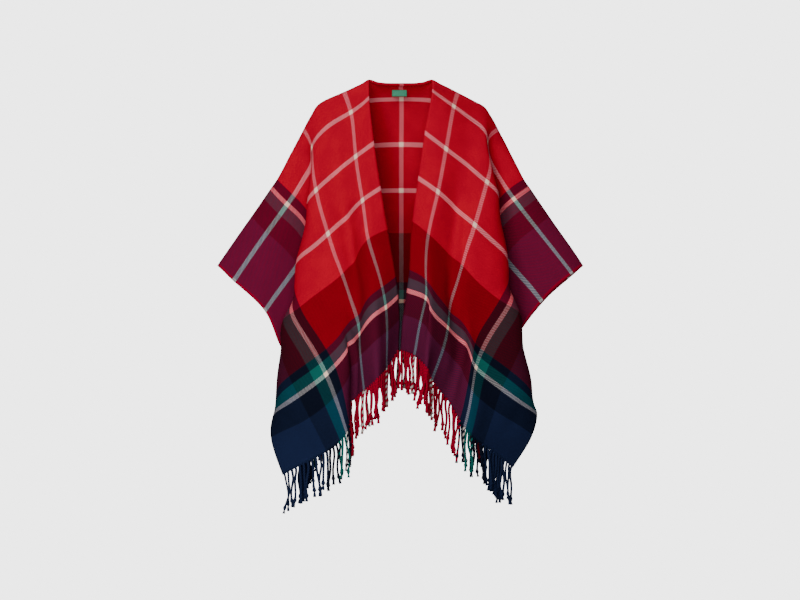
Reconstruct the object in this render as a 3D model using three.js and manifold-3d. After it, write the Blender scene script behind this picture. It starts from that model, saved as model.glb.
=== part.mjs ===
// A fringed plaid cape, filled out as it hangs over the shoulders.
// It is one woven rectangle, folded over the shoulders, with a strip the width of the
// neck cut out of the middle of its front half. Millimetres, +Z up, the front towards -Y.
// The origin is the middle of the neck, level with the two neck corners.
import * as THREE from 'three';
import { mergeVertices } from 'three/addons/utils/BufferGeometryUtils.js';
import Module from 'manifold-3d';

const wasm = await Module();
wasm.setup();

// Cut sizes
const halfWidth = 700; // middle of the cloth to a selvedge
const halfLength = 725; // shoulder line to a fringed hem
const frontEdge = 82; // middle of the cloth to a front edge
const wall = 2; // cloth thickness
const seamGap = 0.3; // between neighbouring pieces

// Narrow turned hem along the back neck, and the label below it
const hemHeight = 8.5;
const hemWall = 1.4;
const hemShort = 4; // short of each neck corner
const hemLift = 0.4; // extra room where the cloth twists
const labelWidth = 38;
const labelHeight = 16;
const labelDown = 26; // shoulder line to the label's sewn top
const labelOffCentre = -4;
const labelWall = 0.8;
const labelBulge = 2;

// Fringe of twisted warp ends
const strandPitch = 12.5;
const strandLength = 100;
const strandRadius = 2.7;
const strandSway = 3;
const strandUneven = 0.06; // share by which they differ in length
const stripHeight = 5;
const stripWall = 2.2;
const stripGap = 1.1; // below the hem, which bends between its points
const rootRadius = 0.7; // inside the strip
const rootDepth = 1; // how far a strand reaches into the strip

// Grid of the cloth: cells from a selvedge to a front edge, across the neck, and from
// the shoulder line to a hem. The solid uses every second grid line.
const sideCells = 36;
const neckCells = 10;
const lengthCells = 42;
const coarse = 2;

// Figure that fills the cape out
const figure = { z: -260, halfWidth: 165, halfDepth: 88, halfHeight: 235 };

// How the fronts hang. Each section is one line of the weave, `down` from the shoulder
// line. `across` is the distance from the middle of the cloth, `out` is the distance
// sideways from the middle of the neck, `drop` is the distance below it and `forward`
// the distance in front of it.
const frontSections = [
  {
    down: 0,
    across: [82, 150, 201, 232, 249, 301, 336, 372, 407, 442, 468, 588, 700],
    leftOut: [79, 141, 189, 211, 219, 244, 260, 277, 293, 310, 324, 392, 459],
    leftDrop: [0, 31, 52, 68, 82, 128, 158, 190, 221, 252, 272, 370, 467],
    rightOut: [79, 144, 190, 212, 220, 246, 262, 278, 294, 310, 324, 391, 458],
    rightDrop: [0, 33, 57, 70, 82, 128, 158, 190, 221, 252, 272, 370, 467],
    forward: [0, 0, 0, 0, 0, 0, 0, 0, 0, 0, 0, 0, 0],
  },
  {
    down: 57,
    across: [82, 150, 230, 265, 298, 340, 468, 588, 700],
    leftOut: [79, 121, 181, 207, 221, 222, 284, 354, 421],
    leftDrop: [42, 80, 115, 138, 166, 206, 315, 410, 508],
    rightOut: [79, 134, 188, 214, 214, 221, 286, 361, 434],
    rightDrop: [25, 62, 102, 122, 152, 184, 298, 395, 488],
    forward: [42, 50, 36, 46, 40, 26, 26, 24, 22],
  },
  {
    down: 110,
    across: [298, 318, 360],
    leftOut: [222, 228, 222],
    leftDrop: [214, 228, 262],
    rightOut: [226, 231, 226],
    rightDrop: [209, 222, 256],
    forward: [66, 64, 30],
  },
  {
    down: 171,
    across: [82, 150, 225, 298, 335, 412, 562, 625, 700],
    leftOut: [66, 112, 164, 211, 238, 224, 266, 301, 341],
    leftDrop: [158, 192, 235, 275, 302, 338, 460, 515, 580],
    rightOut: [60, 114, 169, 215, 248, 230, 269, 309, 356],
    rightDrop: [129, 175, 215, 251, 277, 326, 440, 492, 558],
    forward: [75, 96, 64, 92, 84, 20, 18, 24, 24],
  },
  {
    down: 284,
    across: [82, 150, 225, 298, 362, 412, 512, 612, 700],
    leftOut: [49, 94, 139, 180, 226, 278, 208, 244, 299],
    leftDrop: [270, 305, 348, 386, 428, 458, 550, 620, 674],
    rightOut: [44, 95, 139, 180, 234, 290, 214, 252, 299],
    rightDrop: [244, 279, 318, 361, 408, 452, 540, 605, 632],
    forward: [110, 150, 105, 150, 140, 120, 30, 14, 22],
  },
  {
    down: 392,
    across: [82, 150, 225, 298, 375, 468, 492, 588, 700],
    leftOut: [31, 82, 114, 145, 201, 272, 303, 275, 240],
    leftDrop: [375, 398, 445, 489, 535, 582, 594, 650, 748],
    rightOut: [29, 68, 114, 155, 194, 273, 308, 288, 262],
    rightDrop: [355, 390, 430, 465, 515, 558, 570, 638, 736],
    forward: [150, 188, 138, 172, 178, 140, 122, 66, 32],
  },
  {
    down: 480,
    across: [468, 588, 640, 700],
    leftOut: [227, 306, 306, 296],
    leftDrop: [659, 722, 760, 806],
    rightOut: [213, 314, 327, 312],
    rightDrop: [645, 718, 752, 800],
    forward: [165, 116, 84, 50],
  },
  {
    down: 572,
    across: [82, 150, 212, 298, 355, 418, 468, 575, 645, 700],
    leftOut: [6, 36, 66, 106, 131, 136, 189, 268, 306, 318],
    leftDrop: [542, 570, 588, 638, 660, 685, 742, 800, 824, 842],
    rightOut: [16, 66, 74, 119, 154, 176, 184, 269, 316, 342],
    rightDrop: [526, 545, 580, 620, 652, 685, 716, 788, 818, 838],
    forward: [185, 225, 270, 215, 172, 196, 200, 160, 110, 60],
  },
  {
    down: 640,
    across: [82, 700],
    leftOut: [2, 327],
    leftDrop: [606, 900],
    rightOut: [5, 330],
    rightDrop: [600, 896],
    forward: [178, 62],
  },
  {
    down: 725,
    across: [82, 150, 212, 298, 355, 445, 468, 575, 700],
    leftOut: [4, 36, 56, 90, 118, 128, 133, 194, 292],
    leftDrop: [675, 728, 750, 782, 805, 873, 890, 945, 1006],
    rightOut: [0, 34, 64, 74, 111, 149, 159, 216, 276],
    rightDrop: [678, 690, 720, 750, 800, 862, 878, 922, 978],
    forward: [170, 205, 255, 182, 140, 200, 212, 146, 70],
  },
];

// How the back hangs, in the same way, with `behind` the distance behind the neck.
const backSections = [
  {
    down: 0,
    across: [0, 41, 62, 82, 150, 201, 232, 249, 301, 442, 468, 588, 700],
    out: [0, 40, 60, 79, 142, 189, 211, 219, 245, 310, 324, 392, 459],
    drop: [9, 8.5, 5.5, 0, 32, 55, 69, 82, 128, 252, 272, 370, 467],
    behind: [3, 2, 1, 0, 0, 0, 0, 0, 0, 0, 0, 0, 0],
  },
  {
    down: 57,
    across: [0, 82, 150, 230, 298, 468, 588, 700],
    out: [4, 80, 136, 188, 226, 286, 357, 428],
    drop: [41, 46, 82, 112, 146, 308, 402, 498],
    behind: [50, 54, 66, 76, 60, 28, 24, 22],
  },
  {
    down: 171,
    across: [0, 82, 150, 225, 298, 335, 412, 562, 625, 700],
    out: [4, 82, 146, 198, 228, 244, 212, 268, 306, 350],
    drop: [162, 166, 186, 224, 268, 294, 345, 450, 503, 569],
    behind: [80, 86, 106, 128, 100, 94, 62, 30, 26, 24],
  },
  {
    down: 284,
    across: [0, 82, 150, 225, 298, 362, 412, 512, 612, 700],
    out: [4, 82, 142, 190, 228, 250, 264, 212, 248, 288],
    drop: [276, 278, 296, 330, 372, 412, 448, 535, 610, 650],
    behind: [92, 100, 128, 165, 132, 110, 96, 46, 28, 24],
  },
  {
    down: 392,
    across: [0, 82, 150, 225, 298, 375, 468, 492, 588, 700],
    out: [4, 82, 140, 188, 228, 256, 280, 286, 240, 238],
    drop: [382, 384, 400, 436, 474, 522, 590, 604, 672, 750],
    behind: [102, 116, 150, 192, 162, 130, 108, 100, 78, 34],
  },
  {
    down: 572,
    across: [0, 82, 150, 212, 298, 355, 418, 468, 575, 700],
    out: [4, 82, 134, 170, 212, 232, 252, 270, 292, 278],
    drop: [555, 558, 574, 598, 648, 680, 716, 748, 812, 868],
    behind: [128, 132, 168, 205, 158, 122, 158, 176, 118, 40],
  },
  {
    down: 725,
    across: [0, 82, 150, 212, 298, 355, 418, 468, 575, 700],
    out: [2, 80, 128, 150, 168, 182, 200, 210, 235, 255],
    drop: [682, 690, 715, 743, 781, 809, 844, 869, 924, 966],
    behind: [150, 152, 195, 237, 162, 114, 164, 206, 136, 50],
  },
];

// How the cloth settles from those sections
const settling = {
  steps: 420,
  passes: 6,
  stepTime: 1 / 240,
  gravity: 9810,
  keptSpeed: 0.96,
  shear: 0.1,
  bend: 0.1,
  hold: 0.04, // pull towards the sections, seen from the front
  holdDepth: 0.008, // the same, front to back
  holdEdge: 0.1, // along the front edges
  squeeze: 0.01, // how much the weave resists being squeezed; it never stretches
};

// The grid
const columns = 2 * sideCells + neckCells + 1;
const rows = 2 * lengthCells + 1;
const ridgeRow = lengthCells;

function acrossAt(column) {
  const sideStep = (halfWidth - frontEdge) / sideCells;
  const neckStep = (2 * frontEdge) / neckCells;
  if (column <= sideCells) return -halfWidth + column * sideStep;
  if (column <= sideCells + neckCells) return -frontEdge + (column - sideCells) * neckStep;
  return frontEdge + (column - sideCells - neckCells) * sideStep;
}

// Negative on the back, positive on the fronts.
function downAt(row) {
  return ((row - ridgeRow) * halfLength) / lengthCells;
}

function isCloth(column, row) {
  if (column < 0 || row < 0 || column >= columns || row >= rows) return false;
  return row <= ridgeRow || column <= sideCells || column >= sideCells + neckCells;
}

function nodeAt(column, row) {
  return column * rows + row;
}

// A smooth surface through the points of the sections (a thin plate spline).
function thinPlate(plan, places) {
  const unit = 100;
  const count = plan.length;
  const size = count + 3;
  const bend = (a, b) => {
    const squared = ((a[0] - b[0]) ** 2 + (a[1] - b[1]) ** 2) / unit ** 2;
    return squared > 0 ? 0.5 * squared * Math.log(squared) : 0;
  };
  const tail = (point) => [1, point[0] / unit, point[1] / unit];
  const matrix = [];
  for (let i = 0; i < size; i += 1) {
    const line = new Array(size + 3).fill(0);
    for (let j = 0; j < count; j += 1) {
      line[j] = i < count ? bend(plan[i], plan[j]) : tail(plan[j])[i - count];
    }
    if (i < count) {
      tail(plan[i]).forEach((value, k) => {
        line[count + k] = value;
      });
      places[i].forEach((value, k) => {
        line[size + k] = value;
      });
    }
    matrix.push(line);
  }
  solve(matrix, size);
  return (point) => {
    const place = [0, 0, 0];
    const parts = plan.map((other) => bend(point, other)).concat(tail(point));
    for (let k = 0; k < 3; k += 1) {
      for (let i = 0; i < size; i += 1) place[k] += parts[i] * matrix[i][size + k];
    }
    return place;
  };
}

// Gauss-Jordan elimination, with the right-hand sides in the last columns.
function solve(matrix, size) {
  for (let pivot = 0; pivot < size; pivot += 1) {
    let best = pivot;
    for (let i = pivot + 1; i < size; i += 1) {
      if (Math.abs(matrix[i][pivot]) > Math.abs(matrix[best][pivot])) best = i;
    }
    [matrix[pivot], matrix[best]] = [matrix[best], matrix[pivot]];
    const line = matrix[pivot];
    const scale = 1 / line[pivot];
    for (let k = pivot; k < line.length; k += 1) line[k] *= scale;
    for (let i = 0; i < size; i += 1) {
      const factor = matrix[i][pivot];
      if (i === pivot || factor === 0) continue;
      for (let k = pivot; k < line.length; k += 1) matrix[i][k] -= factor * line[k];
    }
  }
}

function frontSurface(side) {
  const plan = [];
  const places = [];
  for (const section of frontSections) {
    const out = side < 0 ? section.leftOut : section.rightOut;
    const drop = side < 0 ? section.leftDrop : section.rightDrop;
    section.across.forEach((across, i) => {
      plan.push([side * across, section.down]);
      places.push([side * out[i], -section.forward[i], -drop[i]]);
    });
  }
  return thinPlate(plan, places);
}

function backSurface() {
  const plan = [];
  const places = [];
  for (const section of backSections) {
    section.across.forEach((across, i) => {
      for (const side of across > 0 ? [-1, 1] : [1]) {
        plan.push([side * across, -section.down]);
        places.push([side * section.out[i], section.behind[i], -section.drop[i]]);
      }
    });
  }
  return thinPlate(plan, places);
}

function startPlaces() {
  const left = frontSurface(-1);
  const right = frontSurface(1);
  const back = backSurface();
  const places = new Float64Array(columns * rows * 3);
  for (let column = 0; column < columns; column += 1) {
    for (let row = 0; row < rows; row += 1) {
      if (!isCloth(column, row)) continue;
      const point = [acrossAt(column), downAt(row)];
      let surface = point[0] < 0 ? left : right;
      if (row < ridgeRow || Math.abs(point[0]) < frontEdge) surface = back;
      places.set(surface(point), nodeAt(column, row) * 3);
    }
  }
  return places;
}

// Runs of `count` grid points, `stepColumn` and `stepRow` apart, in groups whose runs
// share no point, so that a group's runs can be met in any order.
function makeRuns(count, stepColumn, stepRow) {
  const runs = [];
  for (let group = 0; group < count; group += 1) {
    for (let column = 0; column < columns; column += 1) {
      for (let row = 0; row < rows; row += 1) {
        if ((stepColumn > 0 ? column : row) % count !== group) continue;
        const run = [];
        for (let k = 0; k < count; k += 1) {
          const place = [column + k * stepColumn, row + k * stepRow];
          if (isCloth(...place)) run.push(nodeAt(...place) * 3);
        }
        const width = acrossAt(column + stepColumn) - acrossAt(column);
        const height = downAt(row + stepRow) - downAt(row);
        if (run.length === count) runs.push({ run, length: Math.hypot(width, height) });
      }
    }
  }
  return runs;
}

function settle(places) {
  const target = places.slice();
  const before = places.slice();
  const yarns = [...makeRuns(2, 1, 0), ...makeRuns(2, 0, 1)];
  const diagonals = [...makeRuns(2, 1, 1), ...makeRuns(2, 1, -1)];
  const bends = [...makeRuns(3, 1, 0), ...makeRuns(3, 0, 1)];
  const fall = settling.gravity * settling.stepTime ** 2;
  for (let step = 0; step < settling.steps; step += 1) {
    for (let k = 0; k < places.length; k += 1) {
      const now = places[k];
      places[k] += (now - before[k]) * settling.keptSpeed - (k % 3 === 2 ? fall : 0);
      before[k] = now;
    }
    for (let pass = 0; pass < settling.passes; pass += 1) {
      for (const yarn of yarns) keepLength(places, yarn, 1, settling.squeeze);
      for (const diagonal of diagonals) keepLength(places, diagonal, settling.shear, 0);
      for (const bend of bends) straighten(places, bend.run);
      holdPlaces(places, target);
    }
  }
  return places;
}

// Shortens a run of two by the share `pull`, or lengthens it by the share `push`.
function keepLength(places, { run: [from, to], length }, pull, push) {
  const x = places[to] - places[from];
  const y = places[to + 1] - places[from + 1];
  const z = places[to + 2] - places[from + 2];
  const excess = 1 - length / Math.sqrt(x * x + y * y + z * z);
  const factor = 0.5 * excess * (excess > 0 ? pull : push);
  places[from] += x * factor;
  places[from + 1] += y * factor;
  places[from + 2] += z * factor;
  places[to] -= x * factor;
  places[to + 1] -= y * factor;
  places[to + 2] -= z * factor;
}

// Moves the middle of a run of three towards the line between its ends.
function straighten(places, [from, middle, to]) {
  for (let k = 0; k < 3; k += 1) {
    const sag = places[middle + k] - 0.5 * (places[from + k] + places[to + k]);
    places[middle + k] -= 0.5 * settling.bend * sag;
    places[from + k] += 0.25 * settling.bend * sag;
    places[to + k] += 0.25 * settling.bend * sag;
  }
}

// Keeps the shoulder line and the neck where they are, draws the rest towards the
// sections, and keeps the cloth outside the figure.
function holdPlaces(places, target) {
  const { hold, holdDepth, holdEdge } = settling;
  for (let column = 0; column < columns; column += 1) {
    const edge = column === sideCells || column === sideCells + neckCells;
    for (let row = 0; row < rows; row += 1) {
      if (!isCloth(column, row)) continue;
      const k = nodeAt(column, row) * 3;
      const pinned = row === ridgeRow;
      const pull = edge && row > ridgeRow ? holdEdge : hold;
      places[k] += (pinned ? 1 : pull) * (target[k] - places[k]);
      places[k + 1] += (pinned ? 1 : holdDepth) * (target[k + 1] - places[k + 1]);
      places[k + 2] += (pinned ? 1 : pull) * (target[k + 2] - places[k + 2]);
      if (!pinned) clearFigure(places, k);
    }
  }
}

function clearFigure(places, k) {
  const x = places[k] / figure.halfWidth;
  const y = places[k + 1] / figure.halfDepth;
  const z = (places[k + 2] - figure.z) / figure.halfHeight;
  const depth = Math.sqrt(x * x + y * y + z * z);
  if (depth >= 1) return;
  places[k] /= depth;
  places[k + 1] /= depth;
  places[k + 2] = figure.z + (places[k + 2] - figure.z) / depth;
}

const places = settle(startPlaces());

function placeAt(column, row) {
  return new THREE.Vector3().fromArray(places, nodeAt(column, row) * 3);
}

// Away from the figure, on a surface whose columns run to +X and whose rows run over
// the shoulders to the front.
function normalAt(column, row) {
  const near = (c, r) => (isCloth(c, r) ? placeAt(c, r) : placeAt(column, row));
  const alongRow = near(column + 1, row).sub(near(column - 1, row));
  const alongColumn = near(column, row + 1).sub(near(column, row - 1));
  return alongColumn.cross(alongRow).normalize();
}

// The points of the solid's faces, `lift` outwards from the middle of the wall.
const panelColumns = (columns - 1) / coarse + 1;
const panelRows = (rows - 1) / coarse + 1;

function panelPoint(column, row, lift) {
  const normal = normalAt(column * coarse, row * coarse);
  return placeAt(column * coarse, row * coarse).addScaledVector(normal, lift);
}

function isPanel(column, row) {
  return isCloth(column * coarse, row * coarse);
}

function isCell(column, row) {
  const inNeck = column * coarse >= sideCells && (column + 1) * coarse <= sideCells + neckCells;
  const inside = column >= 0 && row >= 0 && column < panelColumns - 1 && row < panelRows - 1;
  return inside && !(inNeck && row * coarse >= ridgeRow);
}

// Collects points and triangles, and gives them as a closed geometry.
class Solid {
  constructor() {
    this.points = [];
    this.triangles = [];
  }

  point(place) {
    this.points.push(place.x, place.y, place.z);
    return this.points.length / 3 - 1;
  }

  quad(a, b, c, d) {
    this.triangles.push(a, b, c, a, c, d);
  }

  geometry() {
    const made = new THREE.BufferGeometry();
    made.setAttribute('position', new THREE.Float32BufferAttribute(this.points, 3));
    made.setIndex(this.triangles);
    made.computeVertexNormals();
    return made;
  }
}

function clothGeometry() {
  const solid = new Solid();
  const outer = new Map();
  const inner = new Map();
  for (let column = 0; column < panelColumns; column += 1) {
    for (let row = 0; row < panelRows; row += 1) {
      if (!isPanel(column, row)) continue;
      const key = `${column},${row}`;
      outer.set(key, solid.point(panelPoint(column, row, wall / 2)));
      inner.set(key, solid.point(panelPoint(column, row, -wall / 2)));
    }
  }
  const corners = [[0, 0], [1, 0], [1, 1], [0, 1]];
  const beside = [[0, -1], [1, 0], [0, 1], [-1, 0]];
  for (let column = 0; column < panelColumns - 1; column += 1) {
    for (let row = 0; row < panelRows - 1; row += 1) {
      if (!isCell(column, row)) continue;
      const keys = corners.map(([c, r]) => `${column + c},${row + r}`);
      const [a, b, c, d] = keys.map((key) => outer.get(key));
      const [e, f, g, h] = keys.map((key) => inner.get(key));
      solid.quad(a, d, c, b);
      solid.quad(e, f, g, h);
      beside.forEach(([c1, r1], i) => {
        if (isCell(column + c1, row + r1)) return;
        const from = keys[i];
        const to = keys[(i + 1) % 4];
        solid.quad(outer.get(from), outer.get(to), inner.get(to), inner.get(from));
      });
    }
  }
  return solid.geometry();
}

// A closed wall through a grid of middle points, `lines[i][j]`, each with its normal.
function wallGeometry(lines, thickness) {
  const solid = new Solid();
  const sheet = (side) =>
    lines.map((line) =>
      line.map(({ place, normal }) =>
        solid.point(place.clone().addScaledVector(normal, (side * thickness) / 2)),
      ),
    );
  const top = sheet(1);
  const bottom = sheet(-1);
  const last = lines.length - 1;
  const end = lines[0].length - 1;
  for (let i = 0; i < last; i += 1) {
    for (let j = 0; j < end; j += 1) {
      solid.quad(top[i][j], top[i + 1][j], top[i + 1][j + 1], top[i][j + 1]);
      solid.quad(bottom[i][j], bottom[i][j + 1], bottom[i + 1][j + 1], bottom[i + 1][j]);
    }
    solid.quad(top[i][0], bottom[i][0], bottom[i + 1][0], top[i + 1][0]);
    solid.quad(top[i][end], top[i + 1][end], bottom[i + 1][end], bottom[i][end]);
  }
  for (let j = 0; j < end; j += 1) {
    solid.quad(top[0][j], top[0][j + 1], bottom[0][j + 1], bottom[0][j]);
    solid.quad(top[last][j], bottom[last][j], bottom[last][j + 1], top[last][j + 1]);
  }
  return solid.geometry();
}

// A point of the solid's faces anywhere on the cloth, between the panel points round it.
function onPanel(across, down, lift) {
  const column = panelColumnAt(across);
  const row = ((down / halfLength) * lengthCells + ridgeRow) / coarse;
  const left = Math.min(Math.floor(column), panelColumns - 2);
  const low = Math.min(Math.max(Math.floor(row), 0), panelRows - 2);
  const u = column - left;
  const v = row - low;
  const [a, b, c, d] = [[0, 0], [1, 0], [1, 1], [0, 1]].map(([c1, r1]) =>
    panelPoint(left + c1, low + r1, lift),
  );
  const place = a.clone();
  if (u >= v) {
    place.addScaledVector(b.clone().sub(a), u).addScaledVector(c.clone().sub(b), v);
  } else {
    place.addScaledVector(d.clone().sub(a), v).addScaledVector(c.clone().sub(d), u);
  }
  return place;
}

function panelColumnAt(across) {
  const sideStep = (halfWidth - frontEdge) / sideCells;
  const neckStep = (2 * frontEdge) / neckCells;
  let column = sideCells + (across + frontEdge) / neckStep;
  if (across < -frontEdge) column = (across + halfWidth) / sideStep;
  if (across > frontEdge) column = sideCells + neckCells + (across - frontEdge) / sideStep;
  return column / coarse;
}

// A point on the inside of the back, `lift` inwards from the cloth's middle.
function insideBack(across, down, lift) {
  const place = onPanel(across, -down, -lift);
  const normal = onPanel(across, -down, 0).sub(place).normalize();
  return { place, normal };
}

function neckHemGeometry() {
  const lift = wall / 2 + seamGap + hemLift + hemWall / 2;
  const ends = frontEdge - hemShort;
  const count = 2 * neckCells;
  const lines = [];
  for (let i = 0; i <= count; i += 1) {
    const across = -ends + (2 * ends * i) / count;
    lines.push([seamGap, hemHeight / 2, hemHeight].map((down) => insideBack(across, down, lift)));
  }
  return wallGeometry(lines, hemWall);
}

// The label is sewn in along its top and hangs free of the sloping cloth below.
function labelGeometry() {
  const columnsAcross = 6;
  const rowsDown = 3;
  const normal = new THREE.Vector3(0, 1, 0);
  const lines = [];
  for (let i = 0; i <= columnsAcross; i += 1) {
    const u = i / columnsAcross;
    const across = labelOffCentre + (u - 0.5) * labelWidth;
    const seam = insideBack(across, labelDown, wall / 2 + seamGap + hemLift + labelWall / 2);
    const line = [];
    for (let j = 0; j <= rowsDown; j += 1) {
      const v = j / rowsDown;
      const bulge = labelBulge * Math.sin(Math.PI * u) * v;
      const place = seam.place.clone().add(new THREE.Vector3(0, -bulge, -v * labelHeight));
      line.push({ place, normal });
    }
    lines.push(line);
  }
  return wallGeometry(lines, labelWall);
}

// A manifold solid of a closed geometry.
function toManifold(geometry) {
  const bare = geometry.clone();
  bare.deleteAttribute('normal');
  bare.deleteAttribute('uv');
  const merged = mergeVertices(bare, 1e-4);
  return new wasm.Manifold(
    new wasm.Mesh({
      numProp: 3,
      vertProperties: new Float32Array(merged.attributes.position.array),
      triVerts: new Uint32Array(merged.index.array),
    }),
  );
}

function fromManifold(manifold) {
  const mesh = manifold.getMesh();
  const geometry = new THREE.BufferGeometry();
  geometry.setAttribute('position', new THREE.BufferAttribute(mesh.vertProperties, 3));
  geometry.setIndex(new THREE.BufferAttribute(mesh.triVerts, 1));
  geometry.computeVertexNormals();
  return geometry;
}

// The hem at `across`: its lowest line, the way on down the cloth, and out of the cloth.
function hemAt(across, side) {
  const down = side * halfLength;
  const cell = (halfLength / lengthCells) * coarse;
  const place = onPanel(across, down, 0);
  const onward = place.clone().sub(onPanel(across, down - side * cell, 0)).normalize();
  const normal = onPanel(across, down, 1).sub(place);
  const lean = normal.dot(onward);
  normal.addScaledVector(onward, -lean).normalize();
  place.addScaledVector(onward, (Math.abs(lean) * wall) / 2);
  return { place, onward, normal };
}

// A three-sided prism through the points of a hanging strand, thin at its root.
function strandGeometry(path, turn) {
  const solid = new Solid();
  const rings = path.map((place, k) => {
    const ring = [];
    const radius = k === 0 ? rootRadius : strandRadius;
    for (let i = 0; i < 3; i += 1) {
      const angle = turn + (i * 2 * Math.PI) / 3;
      const x = radius * Math.cos(angle);
      const y = radius * Math.sin(angle);
      ring.push(solid.point(place.clone().add(new THREE.Vector3(x, y, 0))));
    }
    return ring;
  });
  for (let k = 0; k < rings.length - 1; k += 1) {
    for (let i = 0; i < 3; i += 1) {
      const j = (i + 1) % 3;
      solid.quad(rings[k][i], rings[k + 1][i], rings[k + 1][j], rings[k][j]);
    }
  }
  const tip = rings[rings.length - 1];
  solid.triangles.push(rings[0][0], rings[0][1], rings[0][2], tip[0], tip[2], tip[1]);
  return solid.geometry();
}

// A strand leaves the strip along the cloth and then hangs straight down.
function strandPath(hem, index) {
  const down = new THREE.Vector3(0, 0, -1);
  const sway = new THREE.Vector3(Math.sin(index * 0.9), Math.cos(index * 0.7), 0);
  const rootAt = stripGap + stripHeight - rootDepth;
  const root = hem.place.clone().addScaledVector(hem.onward, rootAt);
  const bendPoint = root.clone().addScaledVector(hem.onward, stripHeight);
  const length = strandLength * (1 + strandUneven * Math.sin(index * 2.3));
  const end = bendPoint.clone().addScaledVector(down, length - 2 * stripHeight);
  end.addScaledVector(sway, strandSway);
  return [root, bendPoint, end];
}

// One fringe: a strip parted from the hem, with the strands fused to it.
function fringeGeometry(from, to, side) {
  const lines = [];
  const first = Math.round(panelColumnAt(from) * coarse);
  const last = Math.round(panelColumnAt(to) * coarse);
  for (let column = first; column <= last; column += 1) {
    const hem = hemAt(acrossAt(column), side);
    lines.push(
      [stripGap, stripGap + stripHeight].map((far) => ({
        place: hem.place.clone().addScaledVector(hem.onward, far),
        normal: hem.normal.clone().multiplyScalar(-side),
      })),
    );
  }
  let fringe = toManifold(wallGeometry(lines, stripWall));
  const count = Math.floor((to - from) / strandPitch);
  const strands = [];
  for (let i = 0; i < count; i += 1) {
    const across = from + ((i + 0.5) * (to - from)) / count;
    strands.push(toManifold(strandGeometry(strandPath(hemAt(across, side), i), i)));
  }
  fringe = wasm.Manifold.union([fringe, ...strands]);
  return fromManifold(fringe);
}

function piece(name, geometry, color, roughness) {
  const material = new THREE.MeshStandardMaterial({ color, roughness, metalness: 0 });
  const mesh = new THREE.Mesh(geometry, material);
  mesh.name = name;
  return mesh;
}

const red = 0xc80014;
const darkRed = 0x8c0812;
const labelGreen = 0x008255;

const cape = new THREE.Group();
cape.add(piece('cape_cloth', clothGeometry(), red, 0.9));
cape.add(piece('neck_hem', neckHemGeometry(), red, 0.9));
cape.add(piece('neck_label', labelGeometry(), labelGreen, 0.6));
cape.add(piece('fringe_front_left', fringeGeometry(-halfWidth, -frontEdge, 1), darkRed, 0.95));
cape.add(piece('fringe_front_right', fringeGeometry(frontEdge, halfWidth, 1), darkRed, 0.95));
cape.add(piece('fringe_back', fringeGeometry(-halfWidth, halfWidth, -1), darkRed, 0.95));

export default cape;
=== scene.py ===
# Fringed plaid cape, filled out as it hangs over the shoulders. Sizes are in millimetres
# until a mesh is made, and the scene is in metres.
import math

import bmesh
import bpy
import numpy as np
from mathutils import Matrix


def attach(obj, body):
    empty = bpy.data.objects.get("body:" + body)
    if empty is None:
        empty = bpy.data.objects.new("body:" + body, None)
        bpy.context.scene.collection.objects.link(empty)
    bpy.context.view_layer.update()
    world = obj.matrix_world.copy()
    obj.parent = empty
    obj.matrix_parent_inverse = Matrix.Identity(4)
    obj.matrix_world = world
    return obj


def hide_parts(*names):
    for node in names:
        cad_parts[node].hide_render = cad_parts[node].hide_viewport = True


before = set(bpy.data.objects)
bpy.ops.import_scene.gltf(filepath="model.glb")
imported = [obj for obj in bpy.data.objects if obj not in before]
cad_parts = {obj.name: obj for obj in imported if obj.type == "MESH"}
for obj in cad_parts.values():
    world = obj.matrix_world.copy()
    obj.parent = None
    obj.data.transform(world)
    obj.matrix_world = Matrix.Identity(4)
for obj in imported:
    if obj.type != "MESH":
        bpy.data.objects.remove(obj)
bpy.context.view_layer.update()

# How the cloth was cut, and the grid it hangs on
cut = {
    "halfWidth": 700,
    "halfLength": 725,
    "frontEdge": 82,
    "wall": 2.0,
    "sideCells": 36,
    "neckCells": 10,
    "lengthCells": 42,
    "fineStep": 0.4,  # of a cell, in the mesh
}

# The cloth settles round a plain figure, which is an ellipsoid
figure = {"z": -260, "halfWidth": 165, "halfDepth": 88, "halfHeight": 235}

settling = {
    "steps": 420,
    "passes": 6,
    "stepTime": 1 / 240,
    "gravity": 9810,
    "keptSpeed": 0.96,
    "shear": 0.1,
    "bend": 0.1,
    "hold": 0.04,  # pull towards the sections, in each pass
    "holdDepth": 0.008,  # the same, front to back
    "holdEdge": 0.1,  # the same, along the front edges
    "squeeze": 0.01,  # how far a yarn resists being shortened
}

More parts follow.
